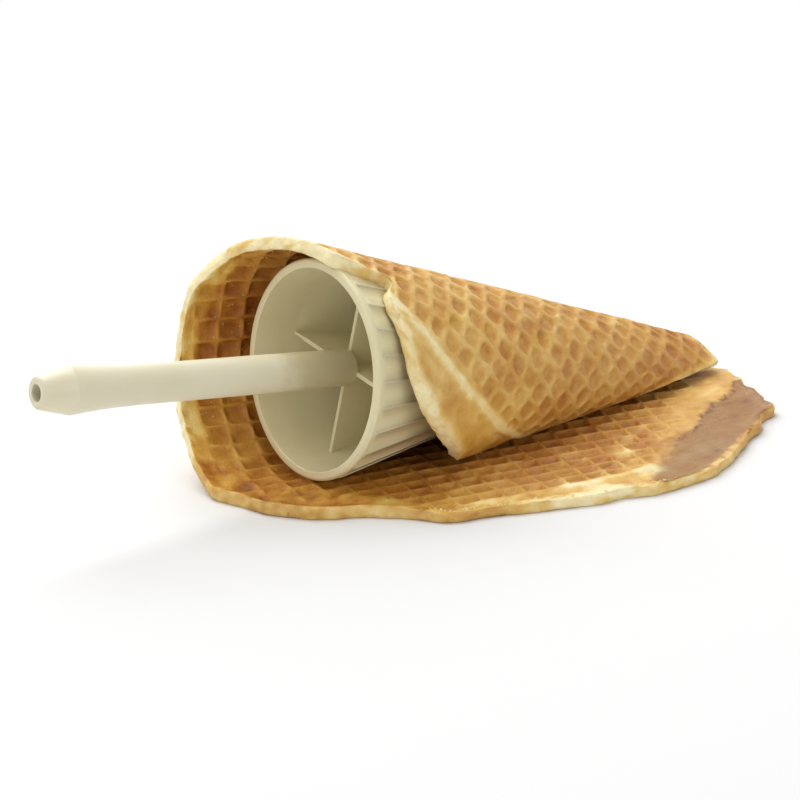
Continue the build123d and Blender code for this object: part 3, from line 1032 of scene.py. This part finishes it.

# %% Bake colour zones, with painted shade
# u, v, size in mm, change of bake (1 is almost burnt, 0 is raw batter)
# painted shade: the darkening spots at (18, 70) behind the cone and at (40, -6) and (90, -8) along the crease
# under the roll are partly real browning and partly painted shade
INNER_BAKE_AND_SHADE = (
    (18, 70, 34, 0.07), (40, -6, 22, 0.14), (90, -8, 18, 0.09), (60, 60, 50, 0.06),
    (108, -34, 9, -0.08), (122, -26, 9, -0.10), (96, -44, 8, -0.10), (70, -62, 6, -0.18),
    (46, -69, 6, -0.38), (30, -62, 8, -0.20), (12, -52, 8, -0.18), (-16, -10, 10, -0.16),
    (-18, 12, 8, -0.02), (45, -57, 2.2, -0.45), (72, -47.5, 2.2, -0.45), (66, -65, 3.0, -0.25),
    (-9, -17, 14, 0.10), (88, -60, 8, -0.10), (0, 80, 14, -0.05),
    (-12, 35, 12, -0.10), (11, -45, 10, -0.15),
)
OUTER_BAKE = (
    (30, 110, 16, -0.02), (78, 122, 10, -0.05), (110, 122, 10, -0.12), (150, 32, 16, 0.16),
    (128, 60, 16, 0.05), (100, 75, 14, 0.03), (95, 132, 8, 0.02),
)
TANNED = ((122, -54, 24, 0.38), (66, -72, 34, 0.12))
INNER_PLAIN = 0.47
OUTER_PLAIN = 0.36
PALE_EDGE = 0.30            # the edge never touched the plates, so it stays pale
RIM_DRIFT = 4.5             # mm that the rim's blotches slide from the outer to the inner face


def bake_and_shade_values():
    """How dark each point is baked, 0 to 1, with some painted shade behind the cone and under the roll."""
    inner = INNER_PLAIN + sum(change * spot(all_flat, u, v, size) for u, v, size, change in INNER_BAKE_AND_SHADE)
    outer = OUTER_PLAIN + sum(change * spot(all_flat, u, v, size) for u, v, size, change in OUTER_BAKE)
    bake_and_shade = np.where(on_inner, inner, outer)
    bake_and_shade += 0.20 * smudge + 0.12 * wide_smudge + 0.12 * fine_smudge
    mottled = smooth((border_out + 4) / 5) * on_inner
    bake_and_shade += mottled * (0.16 * smudge + 0.18 * fine_smudge)
    bake_and_shade += 0.12 * smooth((-2 - all_flat[:, 0]) / 6) * (all_flat[:, 1] < 35) * mottled
    pale_edge = smooth(1.25 - edge_gap / np.where(on_inner, 5.5, 3.4))
    tanned = sum(change * spot(all_flat, u, v, size) for u, v, size, change in TANNED)
    toasted = smooth((40 - all_flat[:, 0]) / 25) * smooth((50 - all_flat[:, 1]) / 30) * 0.26
    bake_and_shade -= pale_edge * (PALE_EDGE + 0.1 * smudge - tanned - toasted)
    bake_and_shade -= 0.26 * border * np.where(on_inner, 0.5, 1)
    rim_smudge = cloud(all_flat + all_share[:, None] * RIM_DRIFT, 2.4, 35) - 0.5
    bake_and_shade += on_rim * (0.12 * smudge + 0.28 * rim_smudge)
    return np.clip(bake_and_shade, 0.02, 1)


# u, v and size in mm of the dark marks beside the scorched line
SCORCH_MARKS = ((117, -35, 1.0), (121, -37.5, 0.9), (114, -47, 0.9), (90, -65, 0.9), (126, -40, 1.1))
SCORCH_INSIDE = 0.6         # mm, the line lies this far inside the overbaked part
SCORCH_HALF = 0.9           # mm


def scorch_values():
    """Dark jagged line where the thin batter stopped, and dark marks beside it, 0 to 1."""
    inward = polygon_gap(all_flat, OVERBAKED) - SCORCH_INSIDE
    line = smooth(1.0 - abs(inward + 1.6 * fine_smudge) / SCORCH_HALF) * smooth(grain_line / 3)
    line = line * smooth((all_flat[:, 0] - 78) / 14)
    marks = sum(spot(all_flat, u, v, size) for u, v, size in SCORCH_MARKS)
    return np.clip(line + marks, 0, 1) * on_inner


scorch = scorch_values()
bake_and_shade = bake_and_shade_values()
print("bake from", round(float(bake_and_shade.min()), 2), "to", round(float(bake_and_shade.max()), 2))

# %% Store the zones on the mesh
def store(mesh, name, values, kind="FLOAT"):
    attribute = mesh.attributes.new(name, kind, "POINT")
    key = "value" if kind == "FLOAT" else "vector"
    attribute.data.foreach_set(key, np.asarray(values, np.float32).ravel())


into_sheet = np.where(on_outer[:, None], all_normals, -all_normals)
into_sheet[on_rim] = 0
store(sheet, "lattice", np.column_stack([all_lattice, on_outer]), "FLOAT_VECTOR")
store(sheet, "into_sheet", into_sheet, "FLOAT_VECTOR")
store(sheet, "pattern", pattern * sheet_t / WAFER_T)
store(sheet, "depth", depth * MM)
# this value also carries the painted shade behind the cone and under the roll
store(sheet, "bake_and_shade", bake_and_shade)
store(sheet, "overbaked", overbaked)
store(sheet, "scorch", scorch)
honey = on_inner * smooth((45 - all_flat[:, 0]) / 45) + on_outer * spot(all_flat, 118, 128, 14)
store(sheet, "honey", np.clip(honey, 0, 1))
sugar = on_inner * (edge_gap > 2.0) * smooth((wide_smudge + 0.15) / 0.3) * (1 - overbaked)
sugar = sugar * smooth((60 - all_flat[:, 0]) / 50)
near_side = smooth((-38 - all_flat[:, 1]) / 8) * smooth((68 - all_flat[:, 0]) / 10)
crumbly = on_inner * near_side * smooth(1.5 - edge_gap / 3.5) * (edge_gap > 0.9)
store(sheet, "sugar", sugar)
store(sheet, "crumbly", crumbly * smooth(0.6 + 3.0 * smudge + 1.5 * fine_smudge))
print("stored", [attribute.name for attribute in sheet.attributes])

# %% [markdown]
# ## Pressing the patterns in
# The patterns follow a rule, so a Geometry Nodes tree presses them in. It reads the column
# and row stored on each point: the distance from the middle of its cell, measured with a
# high power for square cells and a low power for round pits, says whether the point is on a
# ridge or in a pit. A little noise bends the rows, and every cell gets its own depth. Points
# of the pattern only ever move into the sheet. At the rim the mesh does go past its engineering
# shape: a few lobes stand up to 1.5 mm outside the outline, and the bead of the mouth's edge
# swells inwards beyond the inner face, so at the top near side it dips 0.6 mm into the cone.

# %% Helpers for geometry trees
def new_tree(name, inputs):
    """A geometry tree with named inputs after its geometry; returns tree, input and output."""
    tree = bpy.data.node_groups.new(name, "GeometryNodeTree")
    tree.interface.new_socket("Geometry", in_out="INPUT", socket_type="NodeSocketGeometry")
    for label, kind in inputs:
        tree.interface.new_socket(label, in_out="INPUT", socket_type=kind)
    tree.interface.new_socket("Geometry", in_out="OUTPUT", socket_type="NodeSocketGeometry")
    return tree, tree.nodes.new("NodeGroupInput"), tree.nodes.new("NodeGroupOutput")


def read_attribute(tree, name, kind):
    """Output of a value that is stored on the mesh."""
    node = add_node(tree, "GeometryNodeInputNamedAttribute", {"Name": name}, data_type=kind)
    return node.outputs["Attribute"]


def finish_tree(tree, geometry, material, end):
    """Ends a tree: instances are made real, and the material is set."""
    real = add_node(tree, "GeometryNodeRealizeInstances", {"Geometry": geometry}).outputs["Geometry"]
    dressed = add_node(tree, "GeometryNodeSetMaterial", {"Geometry": real, "Material": material})
    link(tree, dressed.outputs["Geometry"], end.inputs["Geometry"])


def blend_values(tree, share, first, second):
    """first + share * (second - first), for numbers that come from sockets."""
    gap = add_math(tree, "SUBTRACT", second, first)
    part = add_math(tree, "MULTIPLY", gap, share)
    return add_math(tree, "ADD", part, first)


def run_tree(piece, tree, values):
    """Adds a tree as a modifier, sets its inputs by identifier and returns the plain result."""
    modifier = piece.modifiers.new(tree.name, "NODES")
    modifier.node_group = tree
    for item in tree.interface.items_tree:
        if item.item_type == "SOCKET" and item.in_out == "INPUT" and item.name in values:
            modifier[item.identifier] = values[item.name]
    evaluated = piece.evaluated_get(bpy.context.evaluated_depsgraph_get())
    mesh = bpy.data.meshes.new_from_object(evaluated)
    piece.modifiers.remove(modifier)
    return mesh


print("helpers ready")

# %% Plate pattern tree
FACE_SIZES = ("Depth", "Pit Share", "Squareness", "Slope")      # inputs that each face has of its own
WOBBLE_SIZE = 0.8           # waves of the bent rows, per cell
NOISE_SHIFT = (11.3, 4.7)   # keeps the sway of columns and rows apart


def one_axis(tree, value):
    """Distance from the middle of a cell along one axis, 0 to 1 at the ridge."""
    nearest = add_math(tree, "ROUND", value)
    off_middle = add_math(tree, "SUBTRACT", value, nearest)
    return add_math(tree, "ABSOLUTE", add_math(tree, "MULTIPLY", off_middle, 2.0))


def plate_pattern_tree():
    by_face = [f"{face} {size}" for face in ("Inner", "Outer") for size in FACE_SIZES]
    inputs = [(label, "NodeSocketFloat") for label in (*by_face, "Wobble", "Depth Spread")]
    inputs += [("Seed", "NodeSocketInt"), ("Material", "NodeSocketMaterial")]
    tree, start, end = new_tree("plate pattern", inputs)
    given = start.outputs
    lattice = add_node(tree, "ShaderNodeSeparateXYZ", {0: read_attribute(tree, "lattice", "FLOAT_VECTOR")})
    column, row, outer = lattice.outputs
    depth, share, power, slope = (
        blend_values(tree, outer, given[f"Inner {size}"], given[f"Outer {size}"]) for size in FACE_SIZES
    )
    place = add_node(tree, "ShaderNodeCombineXYZ", {0: column, 1: row, 2: given["Seed"]}).outputs[0]
    bent = []
    for number, value in enumerate((column, row)):
        shifted = add_vector_math(tree, "ADD", place, (NOISE_SHIFT[0] * number, NOISE_SHIFT[1], 0)).outputs[0]
        sway = add_math(tree, "SUBTRACT", add_noise(tree, shifted, WOBBLE_SIZE, 1.0), 0.5)
        bent.append(add_math(tree, "ADD", value, add_math(tree, "MULTIPLY", sway, given["Wobble"])))
    powers = (add_math(tree, "POWER", one_axis(tree, value), power) for value in bent)
    total = add_math(tree, "ADD", *powers)
    middle = add_math(tree, "POWER", total, add_math(tree, "DIVIDE", 1.0, power))
    low = add_math(tree, "SUBTRACT", share, slope)
    high = add_math(tree, "ADD", share, slope)
    pit = add_range(tree, middle, low, high, 1.0, 0.0)
    cell = [add_math(tree, "ROUND", value) for value in bent]
    cell = add_node(tree, "ShaderNodeCombineXYZ", {0: cell[0], 1: cell[1], 2: outer}).outputs[0]
    chance = add_node(tree, "ShaderNodeTexWhiteNoise", {"Vector": cell}).outputs["Value"]
    spread = add_math(tree, "MULTIPLY", add_math(tree, "SUBTRACT", chance, 0.5), given["Depth Spread"])
    pressed = add_math(tree, "MULTIPLY", pit, add_math(tree, "ADD", spread, 1.0))
    pressed = add_math(tree, "MULTIPLY", pressed, read_attribute(tree, "pattern", "FLOAT"))
    move = add_math(tree, "MULTIPLY", pressed, depth)
    move = add_math(tree, "ADD", move, read_attribute(tree, "depth", "FLOAT"))
    inward = read_attribute(tree, "into_sheet", "FLOAT_VECTOR")
    offset = add_node(tree, "ShaderNodeVectorMath", {0: inward, "Scale": move}, operation="SCALE").outputs[0]
    noted = {"Geometry": given["Geometry"], "Name": "pit", "Value": pressed}
    keep = add_node(tree, "GeometryNodeStoreNamedAttribute", noted, data_type="FLOAT").outputs["Geometry"]
    press = add_node(tree, "GeometryNodeSetPosition", {"Geometry": keep, "Offset": offset})
    finish_tree(tree, press.outputs["Geometry"], given["Material"], end)
    return tree


plate_pattern = plate_pattern_tree()
print("tree", plate_pattern.name, "with", len(plate_pattern.nodes), "nodes")

# %% [markdown]
# ## Baked skin
# Sugar and milk brown unevenly: cream where the batter was thick or out of reach of the
# plates, gold on the ridges and tan in the cells that touched hot metal. Almost chestnut comes
# partly from real browning and partly from painted shade, in the hollow behind the cone and
# under the roll. The group turns one value into that row of colours, adds fine specks and
# pores, and dulls the shine where the skin is dry. Both the sheet and the loose crumbs use it.

# %% Baked skin group
BAKE_COLOURS = (
    (0.00, (243, 230, 184)), (0.20, (226, 193, 118)), (0.40, (206, 160, 84)),
    (0.60, (180, 122, 52)), (0.80, (142, 82, 29)), (1.00, (96, 48, 16)),
)
OVERBAKED_COLOUR = srgb(140, 100, 57)
SCORCH_COLOUR = srgb(112, 68, 42)
SPECK_COLOUR = srgb(96, 56, 26)
BUTTER = srgb(214, 172, 60)
HONEY_FILTER = (1.0, 0.88, 0.47, 1.0)       # what sugar syrup lets through of each colour


def bake_ramp(tree, value):
    ramp = tree.nodes.new("ShaderNodeValToRGB")
    stops = ramp.color_ramp.elements
    while len(stops) < len(BAKE_COLOURS):
        stops.new(0.5)
    for stop, (place, colour) in zip(stops, BAKE_COLOURS):
        stop.position = place
        stop.color = srgb(*colour)
    link(tree, value, ramp.inputs["Fac"])
    return ramp.outputs["Color"]


def baked_skin_group():
    group, start, end = new_group(
        "baked skin",
        (
            ("Vector", "NodeSocketVector", (0, 0, 0)),
            ("Bake", "NodeSocketFloat", 0.4),
            ("Overbaked", "NodeSocketFloat", 0.0),
            ("Scorch", "NodeSocketFloat", 0.0),
            ("Honey", "NodeSocketFloat", 0.0),
            ("Speck Size", "NodeSocketFloat", 420.0),
            ("Pore Size", "NodeSocketFloat", 900.0),
        ),
        (("Colour", "NodeSocketColor"), ("Roughness", "NodeSocketFloat"), ("Height", "NodeSocketFloat")),
    )
    given = start.outputs
    specks = add_noise(group, given["Vector"], given["Speck Size"], 5.0, 0.6)
    patches = add_noise(group, given["Vector"], add_math(group, "MULTIPLY", given["Speck Size"], 0.35), 3.0)
    holes = {"Vector": given["Vector"], "Scale": given["Pore Size"]}
    pores = add_node(group, "ShaderNodeTexVoronoi", holes).outputs["Distance"]
    pore = add_range(group, pores, 0.08, 0.42)
    speck = add_math(group, "MULTIPLY", add_math(group, "SUBTRACT", specks, 0.5), 0.26)
    patch = add_math(group, "MULTIPLY", add_math(group, "SUBTRACT", patches, 0.5), 0.20)
    bake_and_shade = add_math(group, "ADD", add_math(group, "ADD", given["Bake"], speck), patch, clamp=True)
    colour = bake_ramp(group, bake_and_shade)
    butter = add_math(group, "MULTIPLY", add_range(group, patches, 0.52, 0.72), 0.22)
    colour = add_mix(group, butter, colour, BUTTER)
    syrup = add_math(group, "MULTIPLY", given["Honey"], 0.8, clamp=True)
    colour = add_mix(group, syrup, colour, HONEY_FILTER, "MULTIPLY")
    dull = add_math(group, "MULTIPLY", given["Overbaked"], 0.85)
    colour = add_mix(group, dull, colour, OVERBAKED_COLOUR)
    scorched = add_math(group, "MULTIPLY", given["Scorch"], 0.75, clamp=True)
    colour = add_mix(group, scorched, colour, SCORCH_COLOUR)
    dark_speck = add_math(group, "MULTIPLY", add_range(group, specks, 0.66, 0.76), 0.35)
    colour = add_mix(group, dark_speck, colour, SPECK_COLOUR)
    rough = add_range(group, patches, 0.3, 0.7, 0.44, 0.62)
    height = add_math(group, "ADD", specks, add_math(group, "MULTIPLY", pore, 0.35))
    link(group, colour, end.inputs["Colour"])
    link(group, rough, end.inputs["Roughness"])
    link(group, height, end.inputs["Height"])
    return group


baked_skin = baked_skin_group()
print("group", baked_skin.name, "with", len(baked_skin.nodes), "nodes")

# %% Wafer material
GRAIN_TURN = math.radians(31)       # streaks of the overbaked side run this way
GRAIN_SCALE = (110, 900, 300)       # long along the streaks and narrow across them
STREAK_SHARE = 0.36
PIT_BAKE = 0.13                     # a pit touched hot metal, so it is darker than a ridge


def read_value(tree, name):
    return add_node(tree, "ShaderNodeAttribute", {}, attribute_name=name).outputs["Fac"]


def wafer_material():
    material, tree, shader, place = new_material("baked wafer")
    overbaked = read_value(tree, "overbaked")
    turned = {"Vector": place, "Rotation": (0, 0, -GRAIN_TURN), "Scale": GRAIN_SCALE}
    grain = add_node(tree, "ShaderNodeMapping", turned).outputs["Vector"]
    streak = add_range(tree, add_noise(tree, grain, 1.0, 4.0), 0.46, 0.68)
    streak = add_math(tree, "MULTIPLY", add_math(tree, "MULTIPLY", streak, overbaked), STREAK_SHARE)
    skin = add_group(tree, baked_skin, place, {
        "Bake": add_math(tree, "MULTIPLY_ADD", read_value(tree, "pit"), PIT_BAKE, read_value(tree, "bake_and_shade")),
        "Overbaked": overbaked,
        "Honey": read_value(tree, "honey"),
        "Scorch": add_math(tree, "ADD", streak, read_value(tree, "scorch")),
    }).outputs
    bump = add_node(tree, "ShaderNodeBump", {"Strength": 0.5, "Distance": 0.5 * MM, "Height": skin["Height"]})
    link(tree, skin["Colour"], shader.inputs["Base Color"])
    link(tree, skin["Roughness"], shader.inputs["Roughness"])
    link(tree, bump.outputs["Normal"], shader.inputs["Normal"])
    shader.inputs["Specular IOR Level"].default_value = 0.35
    shader.inputs["Subsurface Weight"].default_value = 0.12
    shader.inputs["Subsurface Radius"].default_value = (1.0, 0.5, 0.2)
    shader.inputs["Subsurface Scale"].default_value = 1.5 * MM
    return material


baked_wafer = wafer_material()
print("material", baked_wafer.name)

# %% Make the wafer
def add_piece(name, mesh, body):
    """Links a finished mesh as a piece that rides on a body."""
    piece = bpy.data.objects.new(name, mesh)
    bpy.context.scene.collection.objects.link(piece)
    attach(piece, body)
    return piece


def press_wafer():
    blank = bpy.data.objects.new("blank sheet", sheet)
    bpy.context.scene.collection.objects.link(blank)
    mesh = run_tree(blank, plate_pattern, {
        "Inner Depth": 1.0 * MM, "Outer Depth": 0.7 * MM, "Inner Pit Share": 0.83, "Outer Pit Share": 0.77,
        "Inner Squareness": 7.0, "Outer Squareness": 2.8, "Inner Slope": 0.08, "Outer Slope": 0.08,
        "Wobble": 0.36, "Depth Spread": 0.5, "Seed": 3, "Material": baked_wafer,
    })
    bpy.data.objects.remove(blank)
    mesh.name = "pressed wafer"
    return mesh


pressed = press_wafer()
wafer = add_piece("pressed_wafer", pressed, "rolled_wafer")
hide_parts("wafer")
print("wafer:", len(pressed.vertices), "points,", len(pressed.polygons), "faces")

# %% [markdown]
# ## Sugar grains and crumbs
# Coarse sugar sticks to the inner face, and dry crumbs break from the near edge. Each is a
# tiny shape repeated hundreds of times, which is a job for scattering: points are thrown on
# the sheet where a stored mask allows them, and each gets one small shape with its own turn
# and size. At this size a box of twelve triangles reads as a crystal.

# %% Scatter tree
GRAIN_SHAPE = ("GeometryNodeMeshCube", {"Size": (1.0, 0.8, 0.7)})
CRUMB_SHAPE = ("GeometryNodeMeshIcoSphere", {"Radius": 0.5, "Subdivisions": 1})


def scatter_tree(name, shape, mask):
    """Tree that scatters one small shape over a mesh, as thick as a stored mask says."""
    inputs = (
        ("Density", "NodeSocketFloat"), ("Smallest", "NodeSocketFloat"), ("Largest", "NodeSocketFloat"),
        ("Seed", "NodeSocketInt"), ("Material", "NodeSocketMaterial"),
    )
    tree, start, end = new_tree(name, inputs)
    given = start.outputs
    density = add_math(tree, "MULTIPLY", read_attribute(tree, mask, "FLOAT"), given["Density"])
    points = add_node(
        tree, "GeometryNodeDistributePointsOnFaces",
        {"Mesh": given["Geometry"], "Density": density, "Seed": given["Seed"]},
    )
    source = add_node(tree, *shape)
    turn = add_node(
        tree, "FunctionNodeRandomValue", {"Max": (math.tau, math.tau, math.tau), "Seed": given["Seed"]},
        data_type="FLOAT_VECTOR",
    )
    size = add_node(
        tree, "FunctionNodeRandomValue", {2: given["Smallest"], 3: given["Largest"], "Seed": given["Seed"]},
        data_type="FLOAT",
    )
    place = add_node(tree, "GeometryNodeInstanceOnPoints", {
        "Points": points.outputs["Points"], "Instance": source.outputs["Mesh"],
        "Rotation": turn.outputs[0], "Scale": size.outputs[1],
    })
    finish_tree(tree, place.outputs["Instances"], given["Material"], end)
    return tree


sugar_tree = scatter_tree("scatter sugar", GRAIN_SHAPE, "sugar")
crumb_tree = scatter_tree("scatter crumbs", CRUMB_SHAPE, "crumbly")
print("trees:", sugar_tree.name, "and", crumb_tree.name)

# %% Sugar and crumb materials
SUGAR_PALE = srgb(238, 206, 150)
SUGAR_WARM = srgb(222, 164, 88)


def sugar_material():
    """Half-melted sugar: warm, and shiny where it melted."""
    material, tree, shader, place = new_material("coarse sugar")
    tone = add_noise(tree, place, 700.0, 2.0)
    warm = add_range(tree, tone, 0.35, 0.65)
    link(tree, add_mix(tree, warm, SUGAR_PALE, SUGAR_WARM), shader.inputs["Base Color"])
    link(tree, add_range(tree, tone, 0.3, 0.7, 0.18, 0.35), shader.inputs["Roughness"])
    return material


def crumb_material():
    """The baked skin again, paler and with finer specks, because a crumb breaks from the inside."""
    material, tree, shader, place = new_material("dry crumb")
    skin = add_group(tree, baked_skin, place, {"Bake": 0.10, "Speck Size": 900.0})
    link(tree, skin.outputs["Colour"], shader.inputs["Base Color"])
    link(tree, skin.outputs["Roughness"], shader.inputs["Roughness"])
    return material


coarse_sugar = sugar_material()
dry_crumb = crumb_material()
print("materials:", coarse_sugar.name, "and", dry_crumb.name)

# %% Scatter sugar and crumbs
def scatter(name, tree, material, density, smallest, largest, seed):
    """A piece of many small shapes on the pressed wafer; density per square metre, sizes in mm."""
    carrier = bpy.data.objects.new("carrier", pressed)
    bpy.context.scene.collection.objects.link(carrier)
    mesh = run_tree(carrier, tree, {
        "Density": density, "Smallest": smallest * MM, "Largest": largest * MM, "Seed": seed,
        "Material": material,
    })
    bpy.data.objects.remove(carrier)
    mesh.name = name
    return add_piece(name, mesh, "rolled_wafer")


grains = scatter("sugar_grains", sugar_tree, coarse_sugar, 45000.0, 0.18, 0.42, seed=8)
crumbs = scatter("loose_crumbs", crumb_tree, dry_crumb, 1500000.0, 0.30, 0.90, seed=12)
for piece in (grains, crumbs):
    print(piece.name, len(piece.data.polygons), "faces")
